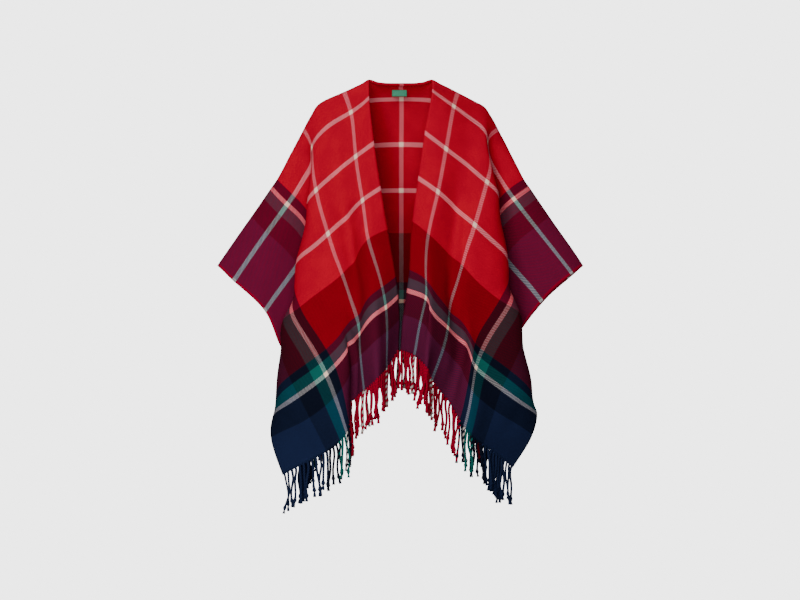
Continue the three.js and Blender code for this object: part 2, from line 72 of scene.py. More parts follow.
# Each section is one line of the weave, "down" from the shoulder line. "across" is the
# distance from the middle of the cloth, "out" sideways from the middle of the neck,
# "drop" below it, "forward" in front of it and "behind" behind it.
frontSections = [
    {
        "down": 0,
        "across": [82, 150, 201, 232, 249, 301, 336, 372, 407, 442, 468, 588, 700],
        "leftOut": [79, 141, 189, 211, 219, 244, 260, 277, 293, 310, 324, 392, 459],
        "leftDrop": [0, 31, 52, 68, 82, 128, 158, 190, 221, 252, 272, 370, 467],
        "rightOut": [79, 144, 190, 212, 220, 246, 262, 278, 294, 310, 324, 391, 458],
        "rightDrop": [0, 33, 57, 70, 82, 128, 158, 190, 221, 252, 272, 370, 467],
        "forward": [0, 0, 0, 0, 0, 0, 0, 0, 0, 0, 0, 0, 0],
    },
    {
        "down": 57,
        "across": [82, 150, 230, 265, 298, 340, 468, 588, 700],
        "leftOut": [79, 121, 181, 207, 221, 222, 284, 354, 421],
        "leftDrop": [42, 80, 115, 138, 166, 206, 315, 410, 508],
        "rightOut": [79, 134, 188, 214, 214, 221, 286, 361, 434],
        "rightDrop": [25, 62, 102, 122, 152, 184, 298, 395, 488],
        "forward": [42, 50, 36, 46, 40, 26, 26, 24, 22],
    },
    {
        "down": 110,
        "across": [298, 318, 360],
        "leftOut": [222, 228, 222],
        "leftDrop": [214, 228, 262],
        "rightOut": [226, 231, 226],
        "rightDrop": [209, 222, 256],
        "forward": [66, 64, 30],
    },
    {
        "down": 171,
        "across": [82, 150, 225, 298, 335, 412, 562, 625, 700],
        "leftOut": [66, 112, 164, 211, 238, 224, 266, 301, 341],
        "leftDrop": [158, 192, 235, 275, 302, 338, 460, 515, 580],
        "rightOut": [60, 114, 169, 215, 248, 230, 269, 309, 356],
        "rightDrop": [129, 175, 215, 251, 277, 326, 440, 492, 558],
        "forward": [75, 96, 64, 92, 84, 20, 18, 24, 24],
    },
    {
        "down": 284,
        "across": [82, 150, 225, 298, 362, 412, 512, 612, 700],
        "leftOut": [49, 94, 139, 180, 226, 278, 208, 244, 299],
        "leftDrop": [270, 305, 348, 386, 428, 458, 550, 620, 674],
        "rightOut": [44, 95, 139, 180, 234, 290, 214, 252, 299],
        "rightDrop": [244, 279, 318, 361, 408, 452, 540, 605, 632],
        "forward": [110, 150, 105, 150, 140, 120, 30, 14, 22],
    },
    {
        "down": 392,
        "across": [82, 150, 225, 298, 375, 468, 492, 588, 700],
        "leftOut": [31, 82, 114, 145, 201, 272, 303, 275, 240],
        "leftDrop": [375, 398, 445, 489, 535, 582, 594, 650, 748],
        "rightOut": [29, 68, 114, 155, 194, 273, 308, 288, 262],
        "rightDrop": [355, 390, 430, 465, 515, 558, 570, 638, 736],
        "forward": [150, 188, 138, 172, 178, 140, 122, 66, 32],
    },
    {
        "down": 480,
        "across": [468, 588, 640, 700],
        "leftOut": [227, 306, 306, 296],
        "leftDrop": [659, 722, 760, 806],
        "rightOut": [213, 314, 327, 312],
        "rightDrop": [645, 718, 752, 800],
        "forward": [165, 116, 84, 50],
    },
    {
        "down": 572,
        "across": [82, 150, 212, 298, 355, 418, 468, 575, 645, 700],
        "leftOut": [6, 36, 66, 106, 131, 136, 189, 268, 306, 318],
        "leftDrop": [542, 570, 588, 638, 660, 685, 742, 800, 824, 842],
        "rightOut": [16, 66, 74, 119, 154, 176, 184, 269, 316, 342],
        "rightDrop": [526, 545, 580, 620, 652, 685, 716, 788, 818, 838],
        "forward": [185, 225, 270, 215, 172, 196, 200, 160, 110, 60],
    },
    {
        "down": 640,
        "across": [82, 700],
        "leftOut": [2, 327],
        "leftDrop": [606, 900],
        "rightOut": [5, 330],
        "rightDrop": [600, 896],
        "forward": [178, 62],
    },
    {
        "down": 725,
        "across": [82, 150, 212, 298, 355, 445, 468, 575, 700],
        "leftOut": [4, 36, 56, 90, 118, 128, 133, 194, 292],
        "leftDrop": [675, 728, 750, 782, 805, 873, 890, 945, 1006],
        "rightOut": [0, 34, 64, 74, 111, 149, 159, 216, 276],
        "rightDrop": [678, 690, 720, 750, 800, 862, 878, 922, 978],
        "forward": [170, 205, 255, 182, 140, 200, 212, 146, 70],
    },
]

backSections = [
    {
        "down": 0,
        "across": [0, 41, 62, 82, 150, 201, 232, 249, 301, 442, 468, 588, 700],
        "out": [0, 40, 60, 79, 142, 189, 211, 219, 245, 310, 324, 392, 459],
        "drop": [9, 8.5, 5.5, 0, 32, 55, 69, 82, 128, 252, 272, 370, 467],
        "behind": [3, 2, 1, 0, 0, 0, 0, 0, 0, 0, 0, 0, 0],
    },
    {
        "down": 57,
        "across": [0, 82, 150, 230, 298, 468, 588, 700],
        "out": [4, 80, 136, 188, 226, 286, 357, 428],
        "drop": [41, 46, 82, 112, 146, 308, 402, 498],
        "behind": [50, 54, 66, 76, 60, 28, 24, 22],
    },
    {
        "down": 171,
        "across": [0, 82, 150, 225, 298, 335, 412, 562, 625, 700],
        "out": [4, 82, 146, 198, 228, 244, 212, 268, 306, 350],
        "drop": [162, 166, 186, 224, 268, 294, 345, 450, 503, 569],
        "behind": [80, 86, 106, 128, 100, 94, 62, 30, 26, 24],
    },
    {
        "down": 284,
        "across": [0, 82, 150, 225, 298, 362, 412, 512, 612, 700],
        "out": [4, 82, 142, 190, 228, 250, 264, 212, 248, 288],
        "drop": [276, 278, 296, 330, 372, 412, 448, 535, 610, 650],
        "behind": [92, 100, 128, 165, 132, 110, 96, 46, 28, 24],
    },
    {
        "down": 392,
        "across": [0, 82, 150, 225, 298, 375, 468, 492, 588, 700],
        "out": [4, 82, 140, 188, 228, 256, 280, 286, 240, 238],
        "drop": [382, 384, 400, 436, 474, 522, 590, 604, 672, 750],
        "behind": [102, 116, 150, 192, 162, 130, 108, 100, 78, 34],
    },
    {
        "down": 572,
        "across": [0, 82, 150, 212, 298, 355, 418, 468, 575, 700],
        "out": [4, 82, 134, 170, 212, 232, 252, 270, 292, 278],
        "drop": [555, 558, 574, 598, 648, 680, 716, 748, 812, 868],
        "behind": [128, 132, 168, 205, 158, 122, 158, 176, 118, 40],
    },
    {
        "down": 725,
        "across": [0, 82, 150, 212, 298, 355, 418, 468, 575, 700],
        "out": [2, 80, 128, 150, 168, 182, 200, 210, 235, 255],
        "drop": [682, 690, 715, 743, 781, 809, 844, 869, 924, 966],
        "behind": [150, 152, 195, 237, 162, 114, 164, 206, 136, 50],
    },
]

# The grid the cloth settles on
sideCells = cut["sideCells"]
neckEnd = sideCells + cut["neckCells"]
columnCount = 2 * sideCells + cut["neckCells"] + 1
rowCount = 2 * cut["lengthCells"] + 1
ridgeRow = cut["lengthCells"]
sideAcross = np.linspace(cut["frontEdge"], cut["halfWidth"], sideCells + 1)
neckAcross = np.linspace(-cut["frontEdge"], cut["frontEdge"], cut["neckCells"] + 1)
acrossAt = np.concatenate([-sideAcross[::-1], neckAcross[1:-1], sideAcross])
downAt = np.linspace(-cut["halfLength"], cut["halfLength"], rowCount)
columnOf, rowOf = np.meshgrid(np.arange(columnCount), np.arange(rowCount), indexing="ij")
isCloth = (rowOf <= ridgeRow) | (columnOf <= sideCells) | (columnOf >= neckEnd)

plateUnit = 100  # the thin plate's own unit, which keeps its numbers near one


def plateBend(a, b):
    squared = ((a[:, None, :] - b[None, :, :]) ** 2).sum(2) / plateUnit**2
    return 0.5 * squared * np.log(np.maximum(squared, 1e-30))


def thinPlate(plan, places, points):
    # a smooth surface through the points of the sections
    plan, places = np.array(plan, float), np.array(places, float)
    tail = np.hstack([np.ones((len(plan), 1)), plan / plateUnit])
    corner = np.zeros((3, 3))
    matrix = np.block([[plateBend(plan, plan), tail], [tail.T, corner]])
    weights = np.linalg.solve(matrix, np.vstack([places, np.zeros((3, 3))]))
    pointTail = np.hstack([np.ones((len(points), 1)), points / plateUnit])
    return np.hstack([plateBend(points, plan), pointTail]) @ weights


def frontSurface(side, points):
    plan, places = [], []
    name = "left" if side < 0 else "right"
    columns = ("across", name + "Out", name + "Drop", "forward")
    for section in frontSections:
        for across, out, drop, forward in zip(*[section[column] for column in columns]):
            plan.append([side * across, section["down"]])
            places.append([side * out, -forward, -drop])
    return thinPlate(plan, places, points)


def backSurface(points):
    plan, places = [], []
    columns = ("across", "out", "drop", "behind")
    for section in backSections:
        for across, out, drop, behind in zip(*[section[column] for column in columns]):
            for side in (-1, 1) if across > 0 else (1,):
                plan.append([side * across, -section["down"]])
                places.append([side * out, behind, -drop])
    return thinPlate(plan, places, points)


def startPlaces():
    places = np.zeros((columnCount, rowCount, 3))
    onBack = (rowOf < ridgeRow) | ((columnOf > sideCells) & (columnOf < neckEnd))
    parts = [
        (isCloth & onBack, backSurface),
        (isCloth & ~onBack & (columnOf <= sideCells), lambda points: frontSurface(-1, points)),
        (isCloth & ~onBack & (columnOf >= neckEnd), lambda points: frontSurface(1, points)),
    ]
    for chosen, surface in parts:
        points = np.stack([acrossAt[columnOf[chosen]], downAt[rowOf[chosen]]], 1)
        places[chosen] = surface(points)
    return places.reshape(-1, 3)


def makeRuns(count, stepColumn, stepRow):
    # runs of grid points, in groups whose runs share no point
    groups = []
    for group in range(count):
        chosen = (columnOf if stepColumn > 0 else rowOf) % count == group
        nodes = []
        for k in range(count):
            column, row = columnOf + k * stepColumn, rowOf + k * stepRow
            inside = (column < columnCount) & (row >= 0) & (row < rowCount)
            column, row = np.clip(column, 0, columnCount - 1), np.clip(row, 0, rowCount - 1)
            chosen = chosen & inside & isCloth[column, row]
            nodes.append(column * rowCount + row)
        nextColumn = np.minimum(columnOf + stepColumn, columnCount - 1)
        nextRow = np.clip(rowOf + stepRow, 0, rowCount - 1)
        wide = acrossAt[nextColumn] - acrossAt[columnOf]
        tall = downAt[nextRow] - downAt[rowOf]
        length = np.hypot(wide, tall)
        groups.append(([node[chosen] for node in nodes], length[chosen][:, None]))
    return groups


def keepLength(places, run, pull, push):
    (start, end), length = run
    way = places[end] - places[start]
    excess = 1 - length / np.sqrt((way * way).sum(1, keepdims=True))
    way *= 0.5 * excess * np.where(excess > 0, pull, push)
    places[start] += way
    places[end] -= way


def straighten(places, run):
    start, middle, end = run[0]
    sag = settling["bend"] * (places[middle] - 0.5 * (places[start] + places[end]))
    places[middle] -= 0.5 * sag
    places[start] += 0.25 * sag
    places[end] += 0.25 * sag


def settle(places):
    target, before = places.copy(), places.copy()
    yarns = makeRuns(2, 1, 0) + makeRuns(2, 0, 1)
    diagonals = makeRuns(2, 1, 1) + makeRuns(2, 1, -1)
    bends = makeRuns(3, 1, 0) + makeRuns(3, 0, 1)
    pinned = (rowOf == ridgeRow).reshape(-1)
    edge = ((columnOf == sideCells) | (columnOf == neckEnd)) & (rowOf > ridgeRow)
    pull = np.where(edge.reshape(-1), settling["holdEdge"], settling["hold"])
    hold = np.stack([pull, np.full_like(pull, settling["holdDepth"]), pull], 1)
    hold[pinned] = 1
    middle = np.array([0, 0, figure["z"]])
    radii = np.array([figure["halfWidth"], figure["halfDepth"], figure["halfHeight"]])
    free = isCloth.reshape(-1) & ~pinned
    fall = np.array([0, 0, settling["gravity"] * settling["stepTime"] ** 2])
    for step in range(settling["steps"]):
        moved = places + (places - before) * settling["keptSpeed"] - fall
        before, places = places, moved
        for turn in range(settling["passes"]):
            for run in yarns:
                keepLength(places, run, 1, settling["squeeze"])
            for run in diagonals:
                keepLength(places, run, settling["shear"], 0)
            for run in bends:
                straighten(places, run)
            places += hold * (target - places)
            depth = np.sqrt((((places - middle) / radii) ** 2).sum(1))
            inside = free & (depth < 1)
            places[inside] = middle + (places[inside] - middle) / depth[inside, None]
    return places.reshape(columnCount, rowCount, 3)


def splineThrough(count, at):
    # the matrix that takes points to a smooth curve through them
    second = np.zeros((count, count))
    matrix = np.eye(count)
    for i in range(1, count - 1):
        matrix[i, i - 1 : i + 2] = [1 / 6, 2 / 3, 1 / 6]
        second[i, i - 1 : i + 2] = [1, -2, 1]
    curvature = np.linalg.solve(matrix, second)
    low = np.clip(np.floor(at + 1e-9).astype(int), 0, count - 2)
    v = at - low
    u = 1 - v
    weights = np.zeros((len(at), count))
    weights[np.arange(len(at)), low] = u
    weights[np.arange(len(at)), low + 1] = v
    weights += ((u**3 - u) / 6)[:, None] * curvature[low]
    weights += ((v**3 - v) / 6)[:, None] * curvature[low + 1]
    return weights


settled = settle(startPlaces())
print("the cloth has settled")

# The same surface on a finer grid
perCell = 1 / cut["fineStep"]
fineColumns = int(round((columnCount - 1) * perCell)) + 1
fineRows = int(round((rowCount - 1) * perCell)) + 1
fineRidge = int(round(ridgeRow * perCell))
fineEdges = [int(round(sideCells * perCell)), int(round(neckEnd * perCell))]
fineAt = np.arange(fineColumns) * cut["fineStep"]
fineAcross = np.interp(fineAt, np.arange(columnCount), acrossAt)
fineDown = np.interp(np.arange(fineRows) * cut["fineStep"], np.arange(rowCount), downAt)
fineIsCloth = np.ones((fineColumns, fineRows), bool)
fineIsCloth[fineEdges[0] + 1 : fineEdges[1], fineRidge + 1 :] = False


def refine(surface):
    fine = np.zeros((fineColumns, fineRows, 3))
    rowsAt = np.arange(fineRows) * cut["fineStep"]
    toRows = splineThrough(rowCount, rowsAt)
    toBackRows = splineThrough(ridgeRow + 1, rowsAt[: fineRidge + 1])
    lines = np.zeros((columnCount, fineRows, 3))
    for column in range(columnCount):
        if sideCells < column < neckEnd:
            lines[column, : fineRidge + 1] = toBackRows @ surface[column, : ridgeRow + 1]
        else:
            lines[column] = toRows @ surface[column]
    toColumns = splineThrough(columnCount, fineAt)
    fine[:, : fineRidge + 1] = np.einsum("ij,jrk->irk", toColumns, lines[:, : fineRidge + 1])
    toSide = splineThrough(sideCells + 1, fineAt[: fineEdges[0] + 1])
    left = lines[: sideCells + 1, fineRidge + 1 :]
    right = lines[neckEnd:, fineRidge + 1 :]
    fine[: fineEdges[0] + 1, fineRidge + 1 :] = np.einsum("ij,jrk->irk", toSide, left)
    fine[fineEdges[1] :, fineRidge + 1 :] = np.einsum("ij,jrk->irk", toSide, right)
    return fine


def outwards(surface):
    # normals of the fine grid, away from the figure
    def near(column, row):
        column, row = np.clip(column, 0, fineColumns - 1), np.clip(row, 0, fineRows - 1)
        known = fineIsCloth[column, row][..., None]
        return np.where(known, surface[column, row], surface)

    c, r = np.meshgrid(np.arange(fineColumns), np.arange(fineRows), indexing="ij")
    alongRow = near(c + 1, r) - near(c - 1, r)
    alongColumn = near(c, r + 1) - near(c, r - 1)
    normal = np.cross(alongColumn, alongRow)
    return normal / np.maximum(np.linalg.norm(normal, axis=2, keepdims=True), 1e-9)


smooth = refine(settled)

# Creases: from one point of the cut to another, (across, down) with down
# negative on the back, then how deep and how wide.
creases = [
    (-455, 60, -395, 330, -2.5, 16),
    (-520, 120, -430, 420, 2.0, 14),
    (-610, 240, -560, 560, -1.8, 18),
    (-190, 90, -215, 260, 1.6, 20),
    (-118, 150, -128, 420, -1.8, 15),
    (-262, 300, -250, 560, -2.4, 18),
    (-330, 420, -318, 690, 2.2, 16),
    (-182, 480, -176, 700, -2.0, 15),
    (-520, 560, -506, 715, 2.4, 18),
    (-640, 560, -600, 700, -2.2, 20),
    (460, 80, 390, 350, -2.4, 15),
    (530, 150, 440, 430, 2.2, 17),
    (600, 260, 548, 520, -1.6, 16),
    (200, 110, 226, 300, 1.6, 22),
    (112, 190, 122, 400, -1.5, 13),
    (255, 330, 262, 540, -2.2, 17),
    (322, 450, 330, 700, 2.0, 18),
    (170, 520, 176, 710, -2.2, 16),
    (515, 600, 500, 720, 2.2, 16),
    (628, 540, 604, 690, -2.4, 19),
    (-250, -120, -232, -420, -2.2, 18),
    (-150, -260, -142, -560, 2.0, 20),
    (-60, -420, -48, -700, -2.4, 22),
    (30, -330, 38, -620, 1.8, 18),
    (130, -240, 152, -600, -2.2, 20),
    (238, -140, 226, -440, 2.0, 16),
    (340, -300, 322, -640, -2.2, 18),
    (-345, -320, -330, -620, 2.2, 17),
    (-470, -140, -420, -480, -2.4, 16),
    (470, -120, 424, -460, 2.2, 17),
    (-560, -360, -545, -680, 2.0, 18),
    (556, -380, 540, -690, -2.4, 20),
    # the valleys between the deeper folds
    (-222, 230, -250, 440, -7, 24),
    (-246, 400, -352, 640, -10, 26),
    (-350, 520, -364, 760, -16, 24),
    (-345, 20, -450, 230, -15, 40),
    (-425, 150, -580, 380, -16, 42),
    (225, 240, 250, 450, -7, 24),
    (250, 410, 350, 650, -10, 26),
    (348, 520, 362, 760, -16, 24),
    (345, 20, 445, 220, -12, 36),
    (425, 150, 575, 370, -13, 38),
]
creaseBow = 0.05  # how far a crease bends aside, as a share of its length


def creaseLift(across, down):
    lift = np.zeros(np.broadcast(across, down).shape)
    for a0, d0, a1, d1, depth, width in creases:
        wide, tall = a1 - a0, d1 - d0
        length = math.hypot(wide, tall)
        along = ((across - a0) * wide + (down - d0) * tall) / (wide**2 + tall**2)
        inside = np.clip(along, 0, 1)
        bow = creaseBow * length * np.sin(math.pi * inside)
        aside = ((across - a0) * tall - (down - d0) * wide) / length
        fade = 4 * inside * np.clip(1 - along, 0, 1)
        lift += depth * fade * np.exp(-(((aside - bow) / width) ** 2))
    return lift


creased = creaseLift(fineAcross[:, None], fineDown[None, :])
fine = smooth + outwards(smooth) * creased[..., None]
normals = outwards(fine)


def onCloth(across, down, lift):
    # a point on the cloth, moved outwards by lift
    column = np.interp(across, fineAcross, np.arange(fineColumns))
    row = np.interp(down, fineDown, np.arange(fineRows))
    c, r = min(int(column), fineColumns - 2), min(int(row), fineRows - 2)
    u, v = column - c, row - r
    corners = [(0, 0, (1 - u) * (1 - v)), (1, 0, u * (1 - v)), (0, 1, (1 - u) * v), (1, 1, u * v)]
    place, normal = np.zeros(3), np.zeros(3)
    for i, j, share in corners:
        place += share * fine[c + i, r + j]
        normal += share * normals[c + i, r + j]
    return place + lift * normal / np.linalg.norm(normal)


def flatGrid(bm, columns, rows):
    # a grid whose points know where they are, from 0 to 1 each way
    made = bmesh.ops.create_grid(bm, x_segments=columns, y_segments=rows, size=0.5)["verts"]
    return {vert: (vert.co.x + 0.5, vert.co.y + 0.5) for vert in made}


def setUv(bm, name, spots):
    layer = bm.loops.layers.uv.new(name)
    for face in bm.faces:
        for loop in face.loops:
            loop[layer].uv = spots[loop.vert]


# The map named "cut" is the flat cloth, with the same scale both ways
cutReach = 2 * cut["halfLength"]


def cutUv(across, down):
    return ((across + cut["halfWidth"]) / cutReach, (down + cut["halfLength"]) / cutReach)


def makeObject(name, bm, material):
    mesh = bpy.data.meshes.new(name)
    bm.to_mesh(mesh)
    bm.free()
    mesh.materials.append(material)
    piece = bpy.data.objects.new(name, mesh)
    bpy.context.scene.collection.objects.link(piece)
    for polygon in mesh.polygons:
        polygon.use_smooth = True
    return piece


def thicken(piece, wall):
    solid = piece.modifiers.new("thickness", "SOLIDIFY")
    solid.thickness = wall / 1000
    solid.offset = 0


# Materials: yarn colours are set by where they lie in the cut, in millimetres from the
# middle of the cloth (the yarns along it) and from the shoulder line (those across). They
# are colours as they are seen, from 0 to 255, and dyeCurve turns them into the light that
# the yarn gives back, both from 0 to 1.
yarns = {
    "red": (212, 2, 46),
    "white": (238, 226, 217),
    "black": (14, 20, 38),
    "teal": (6, 112, 102),
    "navy": (30, 42, 80),
    "darkRed": (124, 0, 18),
}
# A ramp has 256 steps, so a stripe starts at the next step, up to 2.8 mm further on
alongStripes = [
    (0, "white"), (5.4, "red"), (144.5, "white"), (155.5, "red"), (290.5, "white"), (301.5, "red"),
    (438, "black"), (461, "white"), (472, "teal"), (498, "black"), (554, "navy"),
]
acrossStripes = [
    (0, "red"), (51, "white"), (62.5, "red"), (164.8, "white"), (176, "red"), (278.5, "white"),
    (289.8, "red"), (392, "darkRed"), (520.2, "black"), (540, "teal"), (565.7, "white"),
    (577, "black"), (630, "navy"),
]
dyeCurve = [
    (0, 0), (1, 1), (0.1, 0.008), (0.235, 0.033), (0.333, 0.064), (0.47, 0.124),
    (0.627, 0.21), (0.784, 0.34), (0.882, 0.62), (0.94, 0.9),
]
weave = {
    "pitch": 1.25,  # between yarns
    "repeat": 4.0,  # yarns in one repeat of the twill
    "float": 2.0,  # yarns of each repeat that lie on top
    "share": 0.42,  # of the yarns along the cloth in the mixed colour
    "depth": 0.22,  # how far two crossing colours darken each other
    "swing": 0.14,  # how much the share changes over the twill
    "paleSwing": 0.32,  # the same where one of the yarns is white
    "paleGreen": 0.6,  # white is the only yarn with more green than this
    "selvedge": 6.5,
    "napScale": (0.9, 0.25, 1),
    "cloudScale": 0.02,
    "waver": 1.6,  # how far the nap moves the edge of a stripe
    "shade": 0.84,
    "napShade": 0.22,
    "cloudShade": 0.1,
    "roughness": 0.92,
    "gloss": 0.03,
    "overRise": 0.5,
    "napRise": 1.2,
    "bump": 0.5,
    "bumpHeight": 0.00035,
}


class Nodes:
    # a short way to write node trees
    def __init__(self, name):
        self.material = bpy.data.materials.new(name)
        self.material.use_nodes = True
        self.tree = self.material.node_tree
        self.shader = self.tree.nodes["Principled BSDF"]

    def add(self, kind, **settings):
        node = self.tree.nodes.new("ShaderNode" + kind)
        for key, value in settings.items():
            setattr(node, key, value)
        return node

    def link(self, source, target):
        self.tree.links.new(source, target)

    def feed(self, socket, value):
        if isinstance(value, bpy.types.NodeSocket):
            self.link(value, socket)
        else:
            socket.default_value = value

    def math(self, operation, a, b=0.0, c=0.0):
        node = self.add("Math", operation=operation)
        for socket, value in zip(node.inputs, (a, b, c)):
            self.feed(socket, value)
        return node.outputs[0]

    def mix(self, factor, a, b, blend="MIX"):
        node = self.add("Mix", data_type="RGBA", blend_type=blend)
        self.feed(node.inputs[0], factor)
        for socket, value in ((node.inputs[6], a), (node.inputs[7], b)):
            self.feed(socket, value if isinstance(value, bpy.types.NodeSocket) else (*value, 1))
        return node.outputs[2]

    def map(self, name):
        return self.add("UVMap", uv_map=name).outputs[0]

    def scaled(self, vector, scale, shift=(0, 0, 0)):
        node = self.add("Mapping")
        node.inputs["Location"].default_value = shift
        node.inputs["Scale"].default_value = scale
        self.link(vector, node.inputs[0])
        return node.outputs[0]

    def split(self, vector):
        node = self.add("SeparateXYZ")
        self.link(vector, node.inputs[0])
        return node.outputs[0], node.outputs[1]

    def noise(self, vector, scale, detail=2.0):
        node = self.add("TexNoise")
        self.link(vector, node.inputs["Vector"])
        node.inputs["Scale"].default_value = scale
        node.inputs["Detail"].default_value = detail
        return node.outputs[0]

    def stripes(self, distance, table, reach):
        # yarn colours as they are seen, so that two mix as dyed yarns do
        ramp = self.add("ValToRGB")
        ramp.color_ramp.interpolation = "CONSTANT"
        elements = ramp.color_ramp.elements
        for i, (start, colour) in enumerate(table):
            element = elements[i] if i < 2 else elements.new(start / reach)
            element.position = start / reach
            element.color = (*[v / 255 for v in yarns[colour]], 1)
        self.link(self.math("DIVIDE", distance, reach), ramp.inputs[0])
        return ramp.outputs[0]

    def green(self, colour):
        node = self.add("SeparateColor")
        self.link(colour, node.inputs[0])
        return node.outputs[1]

    def dyed(self, colour, shade):
        # a colour as it is seen, shaded, and then how much light the yarn gives back
        tone = self.add("HueSaturation")
        self.link(colour, tone.inputs["Color"])
        self.link(shade, tone.inputs["Value"])
        node = self.add("RGBCurve")
        points = node.mapping.curves[3].points
        for i, (seen, given) in enumerate(dyeCurve):
            point = points[i] if i < 2 else points.new(seen, given)
            point.location = (seen, given)
            point.handle_type = "AUTO_CLAMPED"
        node.mapping.update()
        self.link(tone.outputs[0], node.inputs[1])
        return node.outputs[0]

    def finish(self, colour, roughness, gloss):
        self.link(colour, self.shader.inputs["Base Color"])
        self.shader.inputs["Roughness"].default_value = roughness
        self.shader.inputs["Specular IOR Level"].default_value = gloss

    def bump(self, height, strength, distance):
        node = self.add("Bump")
        self.link(height, node.inputs["Height"])
        node.inputs["Strength"].default_value = strength
        node.inputs["Distance"].default_value = distance
        self.link(node.outputs[0], self.shader.inputs["Normal"])


def clothMaterial():
    n = Nodes("plaid_twill")
    shift = (-cut["halfWidth"], -cut["halfLength"], 0)
    place = n.scaled(n.map("cut"), (cutReach, cutReach, 1), shift)
    across, down = n.split(place)
    nap = n.noise(n.scaled(place, weave["napScale"]), 1.0, 3.0)
    cloud = n.noise(place, weave["cloudScale"])
    waver = n.math("MULTIPLY", n.math("SUBTRACT", nap, 0.5), weave["waver"])
    fromMiddle, fromRidge = n.math("ABSOLUTE", across), n.math("ABSOLUTE", down)
    along = n.stripes(n.math("ADD", fromMiddle, waver), alongStripes, cut["halfWidth"])
    crossing = n.stripes(n.math("ADD", fromRidge, waver), acrossStripes, cut["halfLength"])

    # the twill: which yarn lies on top, and so how much of each colour shows
    yarnAcross = n.math("DIVIDE", across, weave["pitch"])
    yarnDown = n.math("DIVIDE", down, weave["pitch"])
    count = n.math("ADD", n.math("FLOOR", yarnAcross), n.math("FLOOR", yarnDown))
    inRepeat = n.math("FLOORED_MODULO", count, weave["repeat"])
    over = n.math("LESS_THAN", inRepeat, weave["float"])
    greener = n.math("MAXIMUM", n.green(along), n.green(crossing))
    pale = n.math("GREATER_THAN", greener, weave["paleGreen"])
    widest = n.math("MULTIPLY", pale, 2 * (weave["paleSwing"] - weave["swing"]))
    reach = n.math("ADD", widest, 2 * weave["swing"])
    swing = n.math("MULTIPLY", n.math("SUBTRACT", over, 0.5), reach)
    inner = n.math("LESS_THAN", fromMiddle, cut["halfWidth"] - weave["selvedge"])
    share = n.math("MULTIPLY", n.math("ADD", swing, weave["share"]), inner)
    darker = n.mix(1.0, crossing, along, "MULTIPLY")
    mixed = n.mix(weave["depth"], n.mix(share, crossing, along), darker)

    napShade = n.math("MULTIPLY", nap, weave["napShade"])
    cloudShade = n.math("MULTIPLY", cloud, weave["cloudShade"])
    shade = n.math("ADD", n.math("ADD", napShade, cloudShade), weave["shade"])
    n.finish(n.dyed(mixed, shade), weave["roughness"], weave["gloss"])

    roundAcross = n.math("PINGPONG", yarnAcross, 0.5)
    roundDown = n.math("PINGPONG", yarnDown, 0.5)
    roundness = n.math("ADD", roundAcross, roundDown)
    rise = n.math("MULTIPLY", n.mix(over, (0, 0, 0), (1, 1, 1)), weave["overRise"])
    napRise = n.math("MULTIPLY", nap, weave["napRise"])
    height = n.math("ADD", n.math("ADD", rise, roundness), napRise)
    n.bump(height, weave["bump"], weave["bumpHeight"])
    return n.material


def makeCloth(material):
    bm = bmesh.new()
    cutAt, gone = {}, []
    for vert, (u, v) in flatGrid(bm, fineColumns - 1, fineRows - 1).items():
        column, row = round(u * (fineColumns - 1)), round(v * (fineRows - 1))
        cutAt[vert] = cutUv(fineAcross[column], fineDown[row])
        if fineIsCloth[column, row]:
            vert.co = fine[column, row] / 1000
        else:
            gone.append(vert)
    setUv(bm, "cut", cutAt)
    bmesh.ops.delete(bm, geom=gone, context="VERTS")
    bmesh.ops.reverse_faces(bm, faces=bm.faces)
    piece = makeObject("cape_plaid", bm, material)
    thicken(piece, cut["wall"])
    return piece


plaid = clothMaterial()
cloth = makeCloth(plaid)
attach(cloth, "root")
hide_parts("cape_cloth")
print("cloth made", len(cloth.data.polygons))

# The narrow hem turned inside the back neck
neckHem = {
    "reach": 78,
    "start": 0.4,  # below the shoulder line
    "height": 8.5,
    "wall": 1.2,
    "lift": 2.1,
    "plump": 0.7,
    "ripple": 0.15,
    "rippleTurn": 0.31,  # radians for each millimetre
    "weaveShift": (-3.0, -20),  # its plaid isn't in line with the cloth's
    "cells": (48, 6),
}


def makeNeckHem(material):
    bm = bmesh.new()
    cutAt = {}
    shiftAcross, shiftDown = neckHem["weaveShift"]
    for vert, (u, v) in flatGrid(bm, *neckHem["cells"]).items():
        across = (2 * u - 1) * neckHem["reach"]
        ripple = neckHem["ripple"] * math.sin(across * neckHem["rippleTurn"])
        plump = neckHem["lift"] + neckHem["plump"] * math.sin(math.pi * v) + ripple
        down = -neckHem["start"] - v * neckHem["height"]
        vert.co = onCloth(across, down, -plump) / 1000
        cutAt[vert] = cutUv(across + shiftAcross, -v * neckHem["height"] + shiftDown)
    setUv(bm, "cut", cutAt)
    piece = makeObject("neck_turned_hem", bm, material)
    thicken(piece, neckHem["wall"])
    return piece


# The ribbon label under that hem: a loop sewn in at its top, which hangs free to its fold
label = {
    "width": 37,
    "offCentre": -4,
    "down": 26,
    "lift": 1.9,
    "wall": 0.5,
    "bulge": 1.6,
    "twist": 1.2,
    "flare": 0.02,  # how much wider it is at its fold
    "fold": 16.2,  # how far below the seam it turns back
    # below the seam and in front of it, round the loop
    "loop": [
        (0, 0), (5, 0.7), (10, 1.2), (14, 1.5), (15.6, 1.2), (16.2, 0.4), (15.4, -0.4),
        (10, -0.5), (2, -0.7),
    ],
    "cells": (16, 24),
    "ribs": (60.0, 34.0),  # across it and along the loop
    "cloudScale": 9.0,
    "darkGreen": (0.004, 0.1, 0.05),
    "lightGreen": (0.02, 0.24, 0.13),
    "roughness": 0.5,
    "gloss": 0.25,
    "bump": 0.4,
    "bumpHeight": 0.0002,
}


